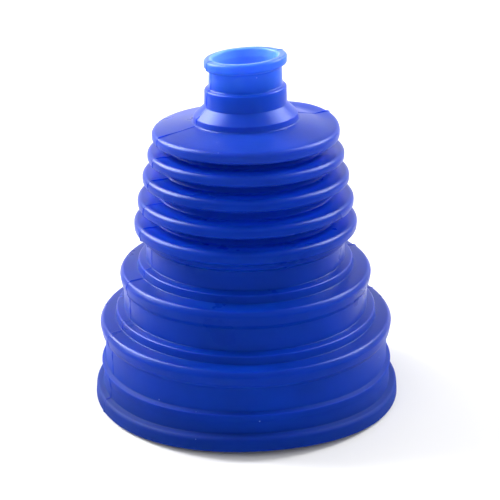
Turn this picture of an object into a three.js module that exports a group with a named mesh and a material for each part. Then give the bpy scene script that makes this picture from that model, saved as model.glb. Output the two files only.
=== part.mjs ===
// Universal stepped boot for a driveshaft joint: one silicone moulding, built as its named zones.
// Three stepped collars at the large end, four flexing folds, three stepped collars at the small end.
// Millimetres, +Z up the axis, origin at the centre of the large end's bottom face.
import * as THREE from 'three';

// ---- Driving dimensions -------------------------------------------------------------------------
const SEGMENTS = 40; // facets round every turned piece
const GAP = 0.3; // clearance between neighbouring zones

const COLLAR_WALL = 2.2; // wall of the stepped ends
const FOLD_WALL = 1.4; // wall of the flexing folds
const FOLD_DEPTH = 6.2; // from the middle of two crests to the root between them
const CREST_ROUND = 1.2; // rounding of a crest's upper edge
const UNDER_ROUND = 0.6; // rounding of its lower edge
const SHOULDER_ROUND = 1.8; // rounding of a stepped collar's shoulder
const SHOULDER_SLOPE = 30; // fall of that shoulder towards the flange, in degrees

const LIP = { r: 50, top: 4.5, round: 0.9 }; // foot flange of the large end
const BAND = { r: 47.5, bottom: 5.5, top: 11.9, ridge: 0.6 }; // thick band above the lip
const COLLAR_3 = { r: 46.4, bottom: 13.2, top: 21.4 };
const COLLAR_2 = {
  below: COLLAR_3.r, bottom: COLLAR_3.top + GAP, flangeR: 47.9, flangeBottom: 23.4, flangeTop: 27.8,
  beadR: 42.8, beadTop: 30.4, wallR: 39.7, top: 38,
};
const COLLAR_1 = {
  below: COLLAR_2.wallR, bottom: COLLAR_2.top + GAP, flangeR: 40.9, flangeBottom: 39.8, flangeTop: 43.7,
  beadR: 35.2, beadTop: 46.2, wallR: 32, top: 53.8,
};

// Crests of the folds from the large end up: outer radius, lower face, upper face.
const CRESTS = {
  5: { r: 35.9, bottom: 56.8, top: 61.4 },
  4: { r: 34.5, bottom: 65.3, top: 68.9 },
  3: { r: 32.8, bottom: 73.2, top: 76.7 },
  2: { r: 31.1, bottom: 80.4, top: 83.7 },
  1: { r: 29.5, bottom: 86.9, top: 90.4 },
};

const CROWN = { innerR: 14.6, neckR: 16.6, top: 92.6 }; // cone from the last crest to the neck
const SMALL_3 = { r: 16.3, bandTop: 94.6, shoulderR: 13.1, top: 97.8 };
const SMALL_2 = { r: 12.8, boreR: 10.8, top: 103.4 };
const SMALL_1 = { r: 11.3, boreR: 9.6, neckTop: 109.3 };
const RIM = { r: 12.9, bottom: 110.4, top: 112.9, mouthR: 10.2 };

// ---- Helpers ------------------------------------------------------------------------------------
// Points of a quarter round from angle start to end, in degrees from +r towards +z.
function arc(centreR, centreZ, radius, start, end, steps = 3) {
  return Array.from({ length: steps + 1 }, (_, i) => {
    const angle = THREE.MathUtils.degToRad(start + ((end - start) * i) / steps);
    return [centreR + radius * Math.cos(angle), centreZ + radius * Math.sin(angle)];
  });
}

// Turns a closed outline of [radius, height] points, up the outside and down the inside, about +Z.
function turned(name, colour, outline) {
  const points = [...outline, outline[0]].map(([r, z]) => new THREE.Vector2(r, z));
  const geometry = new THREE.LatheGeometry(points, SEGMENTS);
  geometry.rotateX(Math.PI / 2);
  const material = new THREE.MeshStandardMaterial({ color: colour, roughness: 0.38, metalness: 0 });
  const mesh = new THREE.Mesh(geometry, material);
  mesh.name = name;
  return mesh;
}

const BASE_BLUE = 0x14309a;
const FOLD_BLUE = 0x1836a8;
const NECK_BLUE = 0x2a55d8;

// Radius of the root between crest k + 1 and crest k.
function rootRadius(k) {
  return (CRESTS[k + 1].r + CRESTS[k].r) / 2 - FOLD_DEPTH;
}

// ---- Large end ----------------------------------------------------------------------------------
// Lip, thick band and plain wall of the widest clamp seat.
function largeCollar3() {
  const { r, top, round } = LIP;
  const inner = COLLAR_3.r - COLLAR_WALL;
  return turned('large_collar_3', BASE_BLUE, [
    ...arc(r - round, round, round, -90, 0),
    ...arc(r - round, top - round, round, 0, 90),
    [BAND.r + 0.4, top + 0.3],
    [BAND.r, BAND.bottom],
    [BAND.r, BAND.top - 0.6],
    [BAND.r + BAND.ridge, BAND.top],
    [COLLAR_3.r + 0.8, COLLAR_3.bottom - 0.3],
    [COLLAR_3.r, COLLAR_3.bottom + 0.3],
    [COLLAR_3.r, COLLAR_3.top],
    [inner, COLLAR_3.top],
    [inner, round],
    [inner + round, 0],
  ]);
}

// A step: rolled flange over the wall below, sloping shoulder, bead and the next clamp seat.
function steppedCollar(name, step) {
  const { below, bottom, flangeR, flangeBottom, flangeTop, beadR, beadTop, wallR, top } = step;
  const inner = wallR - COLLAR_WALL;
  const innerBelow = below - COLLAR_WALL;
  const shoulderDrop = SHOULDER_ROUND * Math.tan(THREE.MathUtils.degToRad((90 - SHOULDER_SLOPE) / 2));
  return turned(name, BASE_BLUE, [
    [below, bottom],
    [below + 0.2, flangeBottom - 0.5],
    [flangeR - 0.5, flangeBottom],
    [flangeR, flangeBottom + 1],
    ...arc(flangeR - SHOULDER_ROUND, flangeTop - shoulderDrop, SHOULDER_ROUND, 0, 90 - SHOULDER_SLOPE),
    [beadR + 0.5, beadTop - 0.3],
    [beadR, beadTop],
    [wallR + 0.9, beadTop + 0.5],
    [wallR, beadTop + 1.6],
    [wallR, top],
    [inner, top],
    [inner, beadTop - 0.4],
    [inner + 0.9, beadTop - 1.6],
    [innerBelow - 0.9, flangeTop - 1.5],
    [innerBelow, flangeTop - 2.6],
    [innerBelow, bottom],
  ]);
}

// The lowest crest tapers out of the last clamp seat and carries the first upper web.
function ring5() {
  const { r, bottom, top } = CRESTS[5];
  const start = COLLAR_1.top + GAP;
  const inner = COLLAR_1.wallR - COLLAR_WALL;
  const root = rootRadius(4) + GAP;
  return turned('ring_5', FOLD_BLUE, [
    [COLLAR_1.wallR, start],
    [COLLAR_1.wallR + 0.4, start + 1.2],
    [r - 1, bottom - 0.2],
    [r - 0.2, bottom + 0.4],
    [r, bottom + 1.1],
    ...arc(r - CREST_ROUND, top - CREST_ROUND, CREST_ROUND, 0, 90),
    [root, top],
    [root, top - FOLD_WALL],
    [r - FOLD_WALL - 0.8, top - FOLD_WALL],
    [r - FOLD_WALL, top - FOLD_WALL - 0.8],
    [r - FOLD_WALL, bottom + 1.6],
    [inner, start + 0.5],
    [inner, start],
  ]);
}

// ---- Folds --------------------------------------------------------------------------------------
// A crest between two grooves: outer face with a lower and an upper web running in to the roots.
function foldRing(k) {
  const { r, bottom, top } = CRESTS[k];
  const lowerRoot = rootRadius(k) + GAP;
  const upperRoot = rootRadius(k - 1) + GAP;
  const inner = r - FOLD_WALL;
  return turned(`ring_${k}`, FOLD_BLUE, [
    [lowerRoot, bottom],
    ...arc(r - UNDER_ROUND, bottom + UNDER_ROUND, UNDER_ROUND, -90, 0, 2),
    ...arc(r - CREST_ROUND, top - CREST_ROUND, CREST_ROUND, 0, 90),
    [upperRoot, top],
    [upperRoot, top - FOLD_WALL],
    [inner - 0.3, top - FOLD_WALL],
    [inner, top - FOLD_WALL - 0.3],
    [inner, bottom + FOLD_WALL + 0.2],
    [inner - 0.2, bottom + FOLD_WALL],
    [lowerRoot, bottom + FOLD_WALL],
  ]);
}

// The thin root of the groove between crest k + 1 and crest k, as a lower and an upper half.
function rootHalves(k) {
  const outer = rootRadius(k);
  const inner = outer - FOLD_WALL;
  const low = CRESTS[k + 1].top - FOLD_WALL;
  const high = CRESTS[k].bottom + FOLD_WALL;
  const middle = (low + high) / 2;
  const lower = turned(`root_${k}_lower`, FOLD_BLUE, [
    [outer, low],
    [outer, middle - GAP / 2],
    [inner, middle - GAP / 2],
    [inner, low + 0.6],
    [inner + 0.6, low],
  ]);
  const upper = turned(`root_${k}_upper`, FOLD_BLUE, [
    [outer, middle + GAP / 2],
    [outer, high],
    [inner + 0.6, high],
    [inner, high - 0.6],
    [inner, middle + GAP / 2],
  ]);
  return [lower, upper];
}

// ---- Small end ----------------------------------------------------------------------------------
// Top crest and the shallow cone that leads in to the neck.
function crown() {
  const { r, bottom, top } = CRESTS[1];
  const root = rootRadius(1) + GAP;
  const inner = r - FOLD_WALL;
  return turned('crown', NECK_BLUE, [
    [root, bottom],
    ...arc(r - UNDER_ROUND, bottom + UNDER_ROUND, UNDER_ROUND, -90, 0, 2),
    ...arc(r - CREST_ROUND, top - CREST_ROUND, CREST_ROUND, 0, 75),
    [CROWN.neckR, CROWN.top],
    [CROWN.innerR, CROWN.top],
    [CROWN.innerR, CROWN.top - 0.9],
    [inner - 0.7, top - FOLD_WALL],
    [inner, bottom + FOLD_WALL + 0.3],
    [inner - 0.3, bottom + FOLD_WALL],
    [root, bottom + FOLD_WALL],
  ]);
}

// Widest clamp seat of the small end, with the sloping shoulder above it.
function smallCollar3() {
  const { r, bandTop, shoulderR, top } = SMALL_3;
  const bottom = CROWN.top + GAP;
  return turned('small_collar_3', NECK_BLUE, [
    [r, bottom],
    [r, bandTop],
    [r - 0.4, bandTop + 0.5],
    [shoulderR, top],
    [SMALL_2.boreR, top],
    [SMALL_2.boreR, top - 0.6],
    [CROWN.innerR, bottom + 1.5],
    [CROWN.innerR, bottom],
  ]);
}

function smallCollar2() {
  const { r, boreR, top } = SMALL_2;
  const bottom = SMALL_3.top + GAP;
  return turned('small_collar_2', NECK_BLUE, [
    [r, bottom],
    ...arc(r - 0.7, top - 0.7, 0.7, 0, 90),
    [SMALL_1.boreR + 0.4, top],
    [boreR, top - 1],
    [boreR, bottom],
  ]);
}

// Narrowest clamp seat, ending in the mouth with its rolled rim.
function smallCollar1() {
  const bottom = SMALL_2.top + GAP;
  return turned('small_collar_1', NECK_BLUE, [
    [SMALL_1.r + 0.2, bottom],
    [SMALL_1.r, bottom + 0.8],
    [SMALL_1.r, SMALL_1.neckTop],
    [RIM.r - 0.6, RIM.bottom - 0.5],
    [RIM.r, RIM.bottom],
    ...arc(RIM.r - 0.6, RIM.top - 0.6, 0.6, 0, 90),
    [RIM.mouthR + 0.4, RIM.top],
    [RIM.mouthR, RIM.top - 0.5],
    [SMALL_1.boreR, RIM.bottom - 0.4],
    [SMALL_1.boreR, bottom],
  ]);
}

// ---- Assembly -----------------------------------------------------------------------------------
const boot = new THREE.Group();
boot.add(largeCollar3(), steppedCollar('large_collar_2', COLLAR_2));
boot.add(steppedCollar('large_collar_1', COLLAR_1), ring5());
for (const k of [4, 3, 2]) boot.add(...rootHalves(k), foldRing(k));
boot.add(...rootHalves(1), crown(), smallCollar3(), smallCollar2(), smallCollar1());

export default boot;
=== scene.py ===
"""Stepped silicone boot for a driveshaft joint, moulded in blue, standing on its large end."""
import math

import bpy
import numpy as np
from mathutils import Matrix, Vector


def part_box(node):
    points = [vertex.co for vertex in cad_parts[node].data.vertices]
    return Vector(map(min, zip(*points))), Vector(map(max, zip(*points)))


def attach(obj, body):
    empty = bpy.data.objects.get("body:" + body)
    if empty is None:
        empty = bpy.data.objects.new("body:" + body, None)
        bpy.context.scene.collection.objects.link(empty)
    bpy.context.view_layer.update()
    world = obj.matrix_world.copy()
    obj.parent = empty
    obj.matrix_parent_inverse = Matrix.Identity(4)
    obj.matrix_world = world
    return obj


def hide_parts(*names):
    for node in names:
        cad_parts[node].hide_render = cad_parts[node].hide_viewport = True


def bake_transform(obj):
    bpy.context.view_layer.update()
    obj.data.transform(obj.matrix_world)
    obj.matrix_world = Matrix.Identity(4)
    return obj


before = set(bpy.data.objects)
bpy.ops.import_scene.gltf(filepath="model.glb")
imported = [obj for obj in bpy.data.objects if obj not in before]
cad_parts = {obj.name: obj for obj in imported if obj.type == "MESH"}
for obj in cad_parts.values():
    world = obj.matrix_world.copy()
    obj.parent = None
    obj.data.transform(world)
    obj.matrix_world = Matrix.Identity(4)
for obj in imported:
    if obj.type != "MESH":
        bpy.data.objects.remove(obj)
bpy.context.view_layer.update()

MM = 0.001  # outlines below are in millimetres, and become metres where a mesh is made

# ---- Sizes taken from the frame -------------------------------------------------------------------


def radius(node):
    """Outer radius of a turned CAD node, in mm."""
    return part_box(node)[1][0] / MM


def bottom(node):
    """Height of a CAD node's lowest point, in mm."""
    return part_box(node)[0][2] / MM


def top(node):
    """Height of a CAD node's highest point, in mm."""
    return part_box(node)[1][2] / MM


CREST_NODES = {5: "ring_5", 4: "ring_4", 3: "ring_3", 2: "ring_2", 1: "crown"}
CREST_HEIGHT_1 = 3.5  # the crown's box also holds its cone, so its crest needs a height of its own
FOLD_WALL = 1.4
COLLAR_WALL = 2.2
CREST_ROUND, UNDER_ROUND = 1.7, 1.0  # a crest is rounder above than below
WEB_END = 1.6  # the rigid webs stop this far outside the root; the groove's bands take over there


def crest(k):
    """Outer radius, lower face and upper face of crest k."""
    node = CREST_NODES[k]
    low = bottom(node)
    high = low + CREST_HEIGHT_1 if k == 1 else top(node)
    return radius(node), low, high


def root_radius(k):
    """Outer radius of the groove's root between crest k + 1 and crest k."""
    return radius(f"root_{k}_lower")


# ---- Outlines -------------------------------------------------------------------------------------


def rounded(corners, steps=7, longest=1.6):
    """A smooth run through (r, z, fillet) corners: arcs there, and straights in short steps between."""
    points = np.array([c[:2] for c in corners], float)
    run = [points[0]]
    for i in range(1, len(corners) - 1):
        here, fillet = points[i], corners[i][2]
        back, ahead = points[i - 1] - here, points[i + 1] - here
        reach_back, reach_ahead = np.linalg.norm(back), np.linalg.norm(ahead)
        back, ahead = back / reach_back, ahead / reach_ahead
        half = math.acos(np.clip(back @ ahead, -1, 1)) / 2
        cut = min(fillet / math.tan(half), 0.49 * reach_back, 0.49 * reach_ahead)
        start, end = here + back * cut, here + ahead * cut
        r = cut * math.tan(half)
        centre = here + (back + ahead) / np.linalg.norm(back + ahead) * r / math.sin(half)
        a0, a1 = (math.atan2(*(p - centre)[::-1]) for p in (start, end))
        sweep = (a1 - a0 + math.pi) % (2 * math.pi) - math.pi
        for t in np.linspace(0, 1, steps):
            a = a0 + sweep * t
            run.append(centre + r * np.array([math.cos(a), math.sin(a)]))
    run.append(points[-1])
    cut_up = [run[0]]
    for p in run[1:]:
        gap = np.linalg.norm(p - cut_up[-1])
        if gap < 1e-4:
            continue
        parts = max(1, math.ceil(gap / longest))
        first = cut_up[-1]
        cut_up += [first + (p - first) * (j + 1) / parts for j in range(parts)]
    return cut_up


def large_end_outline():
    """Runs round the section of the large end: outside going up, then the inside coming down."""
    lip = radius("large_collar_3")
    flange_2, flange_1 = radius("large_collar_2"), radius("large_collar_1")
    seat_3, seat_2, seat_1 = lip - 3.6, flange_2 - 8.2, flange_1 - 8.9
    inner_3, inner_2, inner_1 = (r - COLLAR_WALL for r in (seat_3, seat_2, seat_1))
    step_2, step_1 = top("large_collar_3"), top("large_collar_2")
    r5, low5, high5 = crest(5)
    web = root_radius(4) + WEB_END

    def step(seat_below, flange, seat, foot):
        """Flange over the seat below, its rim and top, a riser with a bead, and the next seat."""
        return [
            (seat_below, foot + 0.6, 1.4),
            (flange - 0.5, foot + 2.0, 1.3),
            (flange, foot + 4.9, 1.6),
            (flange - 1.0, foot + 6.4, 1.3),
            (seat + 3.0, foot + 6.8, 0.3),
            (seat + 2.6, foot + 9.4, 0.6),
            (seat + 0.1, foot + 9.9, 0.3),
        ]

    outside = [
        (inner_3 + 0.9, 0, 0),
        (lip + 0.3, 0, 0.9),
        (lip - 0.1, 4.7, 1.4),
        (lip - 2.4, 5.2, 0.4),
        (lip - 2.6, 9.5, 3),
        (lip - 2.1, 12.5, 0.4),
        (seat_3, 13.0, 0.6),
        *step(seat_3, flange_2, seat_2, step_2),
        *step(seat_2, flange_1, seat_1, step_1),
        (seat_1, low5 + 0.2, 0.8),
        (seat_1 + 1.2, low5 + 1.0, 0.5),
        (seat_1 + 1.7, low5 + 2.8, 1.2),
        (r5 - 0.2, low5 + 3.6, UNDER_ROUND),
        (r5, high5, CREST_ROUND),
        (web, high5, 0),
    ]
    inside = [
        (web, high5 - FOLD_WALL, 0),
        (r5 - FOLD_WALL, high5 - FOLD_WALL, 0.8),
        (r5 - FOLD_WALL, low5 + 3.8, 1.2),
        (inner_1, low5 + 0.6, 1.5),
        (inner_1, step_1 + 8.4, 1.2),
        (inner_2, step_1 + 4.6, 1.5),
        (inner_2, step_2 + 8.6, 1.2),
        (inner_3, step_2 + 4.9, 1.5),
        (inner_3, 0.9, 0.4),
        (inner_3 + 0.9, 0, 0),
    ]
    return [rounded(outside), rounded(inside)]


def fold_outline(k):
    """Section of one free crest: its outer face with both webs, then the hollow inside it."""
    r, low, high = crest(k)
    lower_end, upper_end = root_radius(k) + WEB_END, root_radius(k - 1) + WEB_END
    outside = [
        (lower_end, low, 0),
        (r, low, UNDER_ROUND),
        (r, high, CREST_ROUND),
        (upper_end, high, 0),
    ]
    inside = [
        (upper_end, high - FOLD_WALL, 0),
        (r - FOLD_WALL, high - FOLD_WALL, 0.5),
        (r - FOLD_WALL, low + FOLD_WALL, 0.5),
        (lower_end, low + FOLD_WALL, 0),
    ]
    return [rounded(outside), rounded(inside)]


def small_end_outline():
    """Section of the small end: top crest, cone, three collars and the rolled mouth."""
    r, low, high = crest(1)
    web = root_radius(1) + WEB_END
    cone_top = top("crown")
    collar_3, collar_2, rim = (radius(f"small_collar_{n}") for n in (3, 2, 1))
    shoulder, seat = top("small_collar_3"), top("small_collar_2")
    mouth = top("small_collar_1")
    neck, bore_1, bore_2, bore_3 = rim - 1.5, rim - 3.2, rim - 2.0, collar_3 - 2.0
    outside = [
        (web, low, 0),
        (r, low, UNDER_ROUND),
        (r, high - 0.1, CREST_ROUND),
        (collar_3 + 0.3, cone_top + 0.1, 0.6),
        (collar_3, shoulder - 3.1, 0.5),
        (collar_2 + 0.15, shoulder + 0.1, 0.35),
        (collar_2, seat, 0.8),
        (neck + 0.1, seat + 0.2, 0.6),
        (neck, mouth - 3.5, 0.8),
        (rim, mouth - 2.5, 0.7),
        (rim, mouth, 0.9),
        (rim - 2.6, mouth, 0.8),
        (bore_1, mouth - 2.6, 1.5),
    ]
    inside = [
        (bore_1, mouth - 2.6, 0),
        (bore_1, seat - 0.6, 0.6),
        (bore_2, seat - 2.2, 0.6),
        (bore_2, shoulder - 0.4, 0.8),
        (bore_3, shoulder - 3.6, 0.8),
        (bore_3, cone_top - 0.9, 0.8),
        (r - FOLD_WALL - 0.4, high - FOLD_WALL - 0.1, 0.6),
        (r - FOLD_WALL, low + FOLD_WALL, 0.5),
        (web, low + FOLD_WALL, 0),
    ]
    return [rounded(outside), rounded(inside)]


def between(run, low, high):
    """The stretch of a run whose heights rise from low to high, cut exactly at both."""
    run = np.array(run)
    heights = run[:, 1]
    inner = [p for p in run if low + 1e-6 < p[1] < high - 1e-6]
    ends = [np.array([np.interp(z, heights, run[:, 0]), z]) for z in (low, high)]
    return [ends[0], *inner, ends[1]]


def band_outlines(k):
    """The groove's thin root as three bands, from the bottom up."""
    root, low, high = root_radius(k), crest(k + 1)[2], crest(k)[1]
    web = root + WEB_END
    under, over = low - FOLD_WALL, high + FOLD_WALL
    back = root - FOLD_WALL
    outer_corners = [(web, low, 0), (root, low, 1.25), (root, high, 1.25), (web, high, 0)]
    inner_corners = [(web, under, 0), (back, under, 2), (back, over, 2), (web, over, 0)]
    outer, inner = (rounded(c, steps=9, longest=0.4) for c in (outer_corners, inner_corners))
    cuts = [low + (high - low) * j / 3 for j in range(4)]
    flat = 1e-3
    bands = []
    for j in range(3):
        lo_out, hi_out = cuts[j], cuts[j + 1]
        lo_in = under if j == 0 else lo_out
        hi_in = over if j == 2 else hi_out
        out_run = between(outer, lo_out, hi_out)
        in_run = between(inner, lo_in, hi_in)
        if j == 0:
            out_run = [p for p in outer if p[1] <= low + flat] + out_run[1:]
            in_run = [p for p in inner if p[1] <= under + flat] + in_run[1:]
        if j == 2:
            out_run = out_run[:-1] + [p for p in outer if p[1] >= high - flat]
            in_run = in_run[:-1] + [p for p in inner if p[1] >= over - flat]
        bands.append(([out_run, in_run[::-1]], lo_out * MM, hi_out * MM))
    return bands


# ---- The shape that the mould and handling gave it ------------------------------------------------

PARTING = [math.radians(-67), math.radians(113)]  # the mould's parting plane, from the front (-Y)
FLASH_HEIGHT, FLASH_WIDTH = 0.28, 0.24  # ridge of flash along the parting line, in mm
MISMATCH = 0.05  # one mould half stands this far proud at the parting line, the other as far back
NECK_BEND_FROM = 85.5  # the soft neck leans a little, from this height up
NECK_BEND = math.radians(0.14)  # tilt gained per mm of height
LEAN = 0.003  # sideways drift per mm of height
SWAY = 0.3  # the middle sits this much further left
CROWN_LIFT, CROWN_LIFT_AT = 1.6, math.radians(130)  # the crown's edge curls up at the back right
LIP_LIFT = 2.3  # the front of the soft lip stands this far off the floor
LIP_SKEW = 0.5  # and more so on the right
LIP_LIFT_FROM, LIP_LIFT_TO = 4.5, 23.0  # that lift fades out between these heights
CROWN_EDGE, CROWN_FOOT = 24, 84.5  # only what is outside this radius and above this height curls
OVAL, THREE_LOBED = 0.09, 0.06  # how far the section is from round, in mm
COLUMNS = 288  # steps round the axis, apart from the closer ones at the parting line


def columns():
    """Angles round the axis, closer together at the parting line."""
    even = np.linspace(-math.pi, math.pi, COLUMNS, endpoint=False)
    near = np.radians([-1.1, -0.7, -0.45, -0.28, -0.14, 0, 0.14, 0.28, 0.45, 0.7, 1.1])
    clear = [a for a in even if all(abs(a - p) > math.radians(1.3) for p in PARTING)]
    extra = [p + n for p in PARTING for n in near]
    return np.array(sorted(clear + extra))


def as_moulded(r, z, angle, normal):
    """Where a nominal point of the section lies on the real boot, as x, y, z in mm.

    The normal is the section's own, in r and z, or None inside, where the core leaves no parting line.
    """
    wobble = OVAL * math.sin(2 * angle + 0.7 + z * 0.03)
    wobble += THREE_LOBED * math.sin(3 * angle + z * 0.05)
    r_made = r + wobble * min(1.0, r / 40)
    z_made = z
    if normal is not None:
        side = math.tanh(math.sin(angle - PARTING[0]) * r / 0.3)
        proud = MISMATCH * side * min(1.0, z / 3)
        for p in PARTING:
            away = (angle - p + math.pi) % (2 * math.pi) - math.pi
            ragged = 0.75 + 0.5 * math.sin(z * 2.1) * math.sin(z * 0.77 + 1)
            proud += FLASH_HEIGHT * ragged * min(1.0, z) * math.exp(-((away * r / FLASH_WIDTH) ** 2))
        r_made += proud * normal[0]
        z_made += proud * normal[1]
    x = r_made * math.sin(angle)
    y = -r_made * math.cos(angle)
    lean = NECK_BEND * max(0.0, z - NECK_BEND_FROM)
    fade = min(1.0, max(0.0, (LIP_LIFT_TO - z) / (LIP_LIFT_TO - LIP_LIFT_FROM)))
    lift = LIP_LIFT * fade * max(0.0, math.cos(angle)) ** 3 * (1 + LIP_SKEW * math.sin(angle))
    flap = min(1.0, max(0.0, (r - CROWN_EDGE) / 5)) * min(1.0, max(0.0, (z - CROWN_FOOT) / 2))
    lift += CROWN_LIFT * flap * max(0.0, math.cos(angle - CROWN_LIFT_AT)) ** 4
    return (
        x * math.cos(lean) + LEAN * z - SWAY * math.sin(math.pi * min(z, 80) / 80),
        y,
        z_made + x * math.sin(lean) + lift,
    )


def normals(run):
    """Outward normals of an outside run, which goes up the section."""
    ahead = np.gradient(np.array(run), axis=0)
    ahead /= np.linalg.norm(ahead, axis=1)[:, None]
    return [(t[1], -t[0]) for t in ahead]


def turned(name, runs):
    """A closed ring from runs of a section; edges between two runs stay crisp."""
    section, run_of, facing, crisp = [], [], [], set()
    for n, run in enumerate(runs):
        ways = normals(run) if n == 0 else [None] * len(run)
        for p, way in zip(run, ways):
            if section and np.linalg.norm(np.array(p) - section[-1]) < 1e-4:
                crisp.add(len(section) - 1)
                continue
            section.append(np.array(p, float))
            run_of.append(n)
            facing.append(way)
        crisp.add(len(section) - 1)
    if np.linalg.norm(section[0] - section[-1]) < 1e-4:
        section.pop()
        run_of.pop()
        facing.pop()
    crisp = {c for c in crisp if c < len(section)} | {0}
    crisp |= {i for i in range(len(section)) if run_of[i] != run_of[i - 1]}
    angles = columns()
    rows, cols = len(section), len(angles)
    verts = [
        [c * MM for c in as_moulded(p[0], p[1], a, way)]
        for a in angles
        for p, way in zip(section, facing)
    ]
    faces = []
    for i in range(cols):
        j = (i + 1) % cols
        for m in range(rows):
            n = (m + 1) % rows
            faces.append((i * rows + m, j * rows + m, j * rows + n, i * rows + n))
    mesh = bpy.data.meshes.new(name)
    mesh.from_pydata(verts, [], faces)
    mesh.polygons.foreach_set("use_smooth", [True] * len(faces))
    sharp = mesh.attributes.new("sharp_edge", "BOOLEAN", "EDGE")
    for e in mesh.edges:
        a, b = e.vertices
        if a % rows == b % rows and a % rows in crisp:
            sharp.data[e.index].value = True
    mesh.update()
    piece = bpy.data.objects.new(name, mesh)
    bpy.context.scene.collection.objects.link(piece)
    return piece


# ---- Material -------------------------------------------------------------------------------------

# share of the boot's height and the colour there, from the dark large end to the pale mouth:
# the pigment's blue, with painted shade near the floor and painted light through the thin neck
PIGMENT_WITH_PAINTED_LIGHT_AND_SHADE = [
    (0.00, (0.0012, 0.018, 0.17, 1)),
    (0.06, (0.0012, 0.018, 0.20, 1)),
    (0.14, (0.0012, 0.024, 0.28, 1)),
    (0.70, (0.0012, 0.024, 0.30, 1)),
    (0.79, (0.008, 0.036, 0.34, 1)),
    (0.84, (0.008, 0.042, 0.40, 1)),
    (0.92, (0.006, 0.054, 0.46, 1)),
    (0.94, (0.014, 0.085, 0.54, 1)),
    (1.00, (0.038, 0.145, 0.74, 1)),
]
ROOT_PAINTED_LIGHT = (0.002, 0.035, 0.52, 1)  # painted light: the grooves' thin roots, brighter than the crests beside them, as though lit through
BORE_PAINTED_LIGHT = (0.110, 0.290, 0.95, 1)  # painted light: the inside of the neck, paler than any of the outside
DUST_COLOUR = (0.30, 0.42, 0.90, 1)
SHEEN_COLOUR = (0.38, 0.56, 1.0, 1)  # blue, so that sheen on the front walls doesn't turn them reddish
NECK_INSIDE = (11.0, 10.8)  # the bore's painted light sets in between these radii, just inside the neck


def node(tree, kind, at, **values):
    """A new node at a place in the node editor, with some of its settings."""
    made = tree.nodes.new(kind)
    made.location = at
    for key, value in values.items():
        setattr(made, key, value)
    return made


def mapped(tree, value, at, start_end, low_high=(0, 1), kind="LINEAR"):
    """A value that goes from low to high while the input goes from start to end."""
    made = node(tree, "ShaderNodeMapRange", at, interpolation_type=kind)
    made.inputs["From Min"].default_value, made.inputs["From Max"].default_value = start_end
    made.inputs["To Min"].default_value, made.inputs["To Max"].default_value = low_high
    tree.links.new(value, made.inputs["Value"])
    return made.outputs["Result"]


def graded(tree, value, start, end, at_start=0.0, at_end=1.0):
    """The same for an input in metres, with its start and end given in mm."""
    return mapped(tree, value, (-600, 900), (start * MM, end * MM), (at_start, at_end))


def maths(tree, operation, a, b):
    """One Math node on a linked value and a second one, which may be a plain number."""
    made = node(tree, "ShaderNodeMath", (-400, 900), operation=operation)
    tree.links.new(a, made.inputs[0])
    if isinstance(b, float):
        made.inputs[1].default_value = b
    else:
        tree.links.new(b, made.inputs[1])
    return made.outputs["Value"]


def noise(tree, vector, at, scale, detail):
    """A noise texture's value."""
    made = node(tree, "ShaderNodeTexNoise", at)
    made.inputs["Scale"].default_value = scale
    made.inputs["Detail"].default_value = detail
    tree.links.new(vector, made.inputs["Vector"])
    return made.outputs["Fac"]


def turning_into(tree, shade, colour, factor, at):
    """The shade, which turns into a fixed colour as the factor goes to 1."""
    made = node(tree, "ShaderNodeMix", at, data_type="RGBA")
    made.inputs["B"].default_value = colour
    tree.links.new(factor, made.inputs["Factor"])
    tree.links.new(shade, made.inputs["A"])
    return made.outputs["Result"]


def pigment_and_painted_light_by_height(tree, z):
    """The pigment's colour with its painted shade and painted light, from the table above."""
    ramp = node(tree, "ShaderNodeValToRGB", (-800, 200))
    while len(ramp.color_ramp.elements) < len(PIGMENT_WITH_PAINTED_LIGHT_AND_SHADE):
        ramp.color_ramp.elements.new(0.5)
    for element, (at, shade) in zip(ramp.color_ramp.elements, PIGMENT_WITH_PAINTED_LIGHT_AND_SHADE):
        element.position, element.color = at, shade
    share = mapped(tree, z, (-1000, 200), (0, top("small_collar_1") * MM))
    tree.links.new(share, ramp.inputs["Fac"])
    return ramp.outputs["Color"]


def with_painted_light_in_roots_and_bore(tree, shade, z, r):
    """Painted light: brightens the thin roots, deep below the line of the crests, and the neck's
    inside.
    """
    crests = graded(tree, z, top("ring_5"), top("crown"), radius("ring_5") * MM, radius("crown") * MM)
    over_ring_5 = graded(tree, z, top("ring_5") - 0.3, top("ring_5"))
    under_crown = graded(tree, z, bottom("crown") + 0.3, bottom("crown"))
    in_folds = maths(tree, "MULTIPLY", over_ring_5, under_crown)
    depth = maths(tree, "SUBTRACT", crests, r)
    painted_light_in_root = maths(tree, "MULTIPLY", graded(tree, depth, 1, 4), in_folds)
    in_neck = graded(tree, z, top("small_collar_3"), top("small_collar_2"))
    painted_light_in_bore = maths(tree, "MULTIPLY", graded(tree, r, *NECK_INSIDE), in_neck)
    shade = turning_into(tree, shade, ROOT_PAINTED_LIGHT, painted_light_in_root, (-500, 350))
    return turning_into(tree, shade, BORE_PAINTED_LIGHT, painted_light_in_bore, (-500, 350))


def mottled(tree, shade, cloud):
    """Slow mottling of the pigment, by up to an eighth either way."""
    tone = mapped(tree, cloud, (-800, -100), (0.3, 0.7), (0.88, 1.12))
    made = node(tree, "ShaderNodeMix", (-500, 150), data_type="RGBA", blend_type="MULTIPLY")
    made.inputs["Factor"].default_value = 1
    tree.links.new(shade, made.inputs["A"])
    tree.links.new(tone, made.inputs["B"])
    return made.outputs["Result"]


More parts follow.
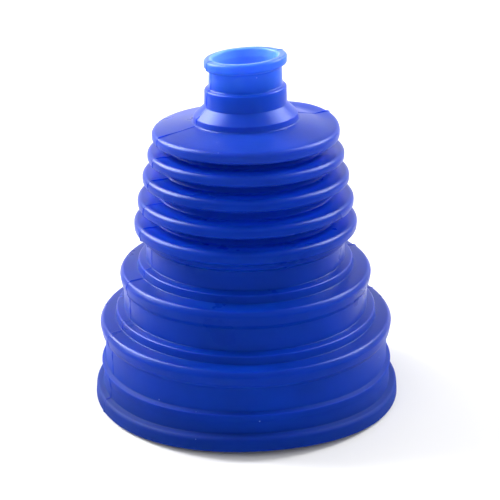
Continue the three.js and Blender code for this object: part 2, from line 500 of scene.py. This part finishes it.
def dusted(tree, shade, place):
    """A few pale specks of dust and nicks: about one cell in fourteen may hold a speck."""
    cells = node(tree, "ShaderNodeTexVoronoi", (-1000, -400))
    cells.inputs["Scale"].default_value = 260
    tree.links.new(place, cells.inputs["Vector"])
    speck = mapped(tree, cells.outputs["Distance"], (-800, -400), (0.075, 0.045), (0, 0.35))
    split = node(tree, "ShaderNodeSeparateColor", (-1000, -600))
    tree.links.new(cells.outputs["Color"], split.inputs["Color"])
    rare = maths(tree, "GREATER_THAN", split.outputs["Red"], 0.93)
    chosen = maths(tree, "MULTIPLY", speck, rare)
    return turning_into(tree, shade, DUST_COLOUR, chosen, (-250, 100))


def relief(tree, place):
    """The surface's normal: the mould's turning marks run round the walls, under a fine grain."""
    stretch = node(tree, "ShaderNodeMapping", (-1000, -800))
    stretch.inputs["Scale"].default_value = (40, 40, 2600)
    tree.links.new(place, stretch.inputs["Vector"])
    marks = noise(tree, stretch.outputs["Vector"], (-800, -800), 1, 3)
    grain = noise(tree, place, (-800, -1050), 1500, 2)
    both = node(tree, "ShaderNodeMix", (-500, -900), data_type="FLOAT")
    both.inputs["Factor"].default_value = 0.4
    tree.links.new(marks, both.inputs["A"])
    tree.links.new(grain, both.inputs["B"])
    bump = node(tree, "ShaderNodeBump", (300, -500))
    bump.inputs["Strength"].default_value = 0.25
    bump.inputs["Distance"].default_value = 0.00012
    tree.links.new(both.outputs["Result"], bump.inputs["Height"])
    return bump.outputs["Normal"]


def silicone():
    """Blue silicone: satin, a little translucent, and paler towards the small end by painted light."""
    material = bpy.data.materials.new("blue_silicone")
    material.use_nodes = True
    tree = material.node_tree
    tree.nodes.clear()
    link = tree.links.new
    out = node(tree, "ShaderNodeOutputMaterial", (900, 0))
    shader = node(tree, "ShaderNodeBsdfPrincipled", (600, 0))
    link(shader.outputs["BSDF"], out.inputs["Surface"])
    shader.inputs["IOR"].default_value = 1.41
    shader.inputs["Specular IOR Level"].default_value = 0.11
    shader.inputs["Specular Tint"].default_value = SHEEN_COLOUR
    shader.inputs["Subsurface Radius"].default_value = (0.2, 0.6, 2.4)
    shader.inputs["Subsurface Scale"].default_value = 0.0014

    place = node(tree, "ShaderNodeTexCoord", (-1400, 0)).outputs["Object"]
    axes = node(tree, "ShaderNodeSeparateXYZ", (-1200, 200))
    link(place, axes.inputs[0])
    flat = node(tree, "ShaderNodeVectorMath", (-1000, 700), operation="MULTIPLY")
    flat.inputs[1].default_value = (1, 1, 0)
    link(place, flat.inputs[0])
    reach = node(tree, "ShaderNodeVectorMath", (-800, 700), operation="LENGTH")
    link(flat.outputs["Vector"], reach.inputs[0])
    z, r = axes.outputs["Z"], reach.outputs["Value"]
    cloud = noise(tree, place, (-1000, -100), 60, 4)

    # painted shade low down and painted light at the neck, as colour by height
    shade = pigment_and_painted_light_by_height(tree, z)
    # painted light in the grooves' roots and in the bore
    shade = with_painted_light_in_roots_and_bore(tree, shade, z, r)
    shade = mottled(tree, shade, cloud)
    link(dusted(tree, shade, place), shader.inputs["Base Color"])
    link(relief(tree, place), shader.inputs["Normal"])

    # the thin neck lets the most light through
    thin = graded(tree, z, bottom("crown"), top("small_collar_1"), 0.8, 1.0)
    link(thin, shader.inputs["Subsurface Weight"])

    # some patches are a little shinier than the rest, and the large end is the most matt
    gloss = mapped(tree, cloud, (-500, -300), (0.3, 0.7), (0.22, 0.30))
    worn = graded(tree, z, 12, 26, 0.40, 0.04)
    link(maths(tree, "ADD", gloss, worn), shader.inputs["Roughness"])
    return material


# ---- The boot -------------------------------------------------------------------------------------


def make_boot(material):
    """Every piece, the skins each on its body, and each standing for its CAD nodes."""

    def finish_piece(piece, *nodes):
        """Gives a piece its material and hides the CAD nodes that it stands for."""
        piece.data.materials.append(material)
        if nodes:
            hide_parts(*nodes)
        return piece

    large = turned("large_end_skin", large_end_outline())
    seats = [f"large_collar_{n}" for n in (3, 2, 1)]
    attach(finish_piece(large, *seats, "ring_5"), "large_end")
    for k in (4, 3, 2):
        fold = turned(f"ring_{k}_skin", fold_outline(k))
        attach(finish_piece(fold, f"ring_{k}"), f"ring_{k}")
    small = turned("small_end_skin", small_end_outline())
    collars = [f"small_collar_{n}" for n in (3, 2, 1)]
    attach(finish_piece(small, "crown", *collars), "small_end")

    for k in (4, 3, 2, 1):
        stands_for = [[f"root_{k}_lower"], [f"root_{k}_upper"], []]
        for j, (runs, low, high) in enumerate(band_outlines(k)):
            band = finish_piece(turned(f"groove_{k}_band_{j + 1}", runs), *stands_for[j])
            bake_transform(band)


# ---- Stage, light and camera ----------------------------------------------------------------------

BACK_LOW, BACK_HIGH = 2.0, 0.3  # brightness of the walls behind and beside, low down and overhead
FRONT_LOW, FRONT_HIGH = 0.35, 2.0  # the same in front
FLOOR_REACH = 6  # from the middle to each side, in metres


def softbox(name, at, side, power, sheen_only=False):
    """A soft square light aimed at the boot's middle. One for sheen only lights nothing but sheen."""
    light = bpy.data.lights.new(name, "AREA")
    light.shape, light.size, light.size_y, light.energy = "RECTANGLE", side, side, power
    lamp = bpy.data.objects.new(name, light)
    bpy.context.scene.collection.objects.link(lamp)
    lamp.location = at
    direction = np.array((0, 0, 0.05), float) - np.array(at, float)
    lamp.rotation_euler = Vector(direction).to_track_quat("-Z", "Y").to_euler()
    if sheen_only:
        lamp.visible_diffuse = False
        lamp.visible_transmission = False


def floor():
    """A pale paper floor."""
    mesh = bpy.data.meshes.new("floor")
    reach = FLOOR_REACH
    corners = [(-reach, -reach, 0), (reach, -reach, 0), (reach, reach, 0), (-reach, reach, 0)]
    mesh.from_pydata(corners, [], [(0, 1, 2, 3)])
    ground = bpy.data.objects.new("floor", mesh)
    bpy.context.scene.collection.objects.link(ground)
    paper = bpy.data.materials.new("white_paper")
    paper.use_nodes = True
    shader = paper.node_tree.nodes["Principled BSDF"]
    shader.inputs["Base Color"].default_value = (0.70, 0.70, 0.70, 1)
    shader.inputs["Roughness"].default_value = 0.8
    mesh.materials.append(paper)


def surround():
    """The room's light: brighter low down behind and beside the boot, and overhead in front of it."""
    world = bpy.data.worlds.new("studio")
    bpy.context.scene.world = world
    world.use_nodes = True
    tree = world.node_tree
    background = tree.nodes["Background"]
    place = node(tree, "ShaderNodeTexCoord", (-900, 0))
    axes = node(tree, "ShaderNodeSeparateXYZ", (-700, 0))
    tree.links.new(place.outputs["Generated"], axes.inputs[0])
    y, z = axes.outputs["Y"], axes.outputs["Z"]
    back = mapped(tree, z, (-500, 200), (0.25, 0.75), (BACK_LOW, BACK_HIGH), "SMOOTHSTEP")
    front = mapped(tree, z, (-500, -50), (0.2, 0.55), (FRONT_LOW, FRONT_HIGH), "SMOOTHSTEP")
    side = mapped(tree, y, (-500, -300), (-0.8, 0.0), (0.0, 1.0), "SMOOTHSTEP")
    both = node(tree, "ShaderNodeMix", (-250, 0), data_type="FLOAT")
    tree.links.new(side, both.inputs["Factor"])
    tree.links.new(front, both.inputs["A"])
    tree.links.new(back, both.inputs["B"])
    background.inputs["Color"].default_value = (1, 1, 1, 1)
    tree.links.new(both.outputs["Result"], background.inputs["Strength"])


def studio():
    """Floor, surround and, above each side, a softbox and a larger light for sheen only."""
    floor()
    surround()
    softbox("left_softbox", (-0.80, 0.28, 0.72), 0.36, 13)
    softbox("right_softbox", (0.85, 0.25, 0.70), 0.28, 8)
    softbox("left_sheen", (-0.92, 0.40, 0.88), 1.0, 115, sheen_only=True)
    softbox("right_sheen", (0.90, 0.36, 0.90), 0.8, 58, sheen_only=True)


def camera():
    """The view of the object from a little above, with a long lens."""
    data = bpy.data.cameras.new("camera")
    data.sensor_width = 36
    data.lens = 102.3
    data.shift_x = 0.0087
    data.clip_start, data.clip_end = 0.05, 20
    made = bpy.data.objects.new("camera", data)
    bpy.context.scene.collection.objects.link(made)
    made.location = (0, -0.4291, 0.2152)
    made.rotation_mode = "ZYX"
    made.rotation_euler = (math.radians(90 - 21.2), 0, math.radians(-0.47))
    bpy.context.scene.camera = made


bpy.context.scene.view_settings.view_transform = "Standard"
camera()
studio()
make_boot(silicone())
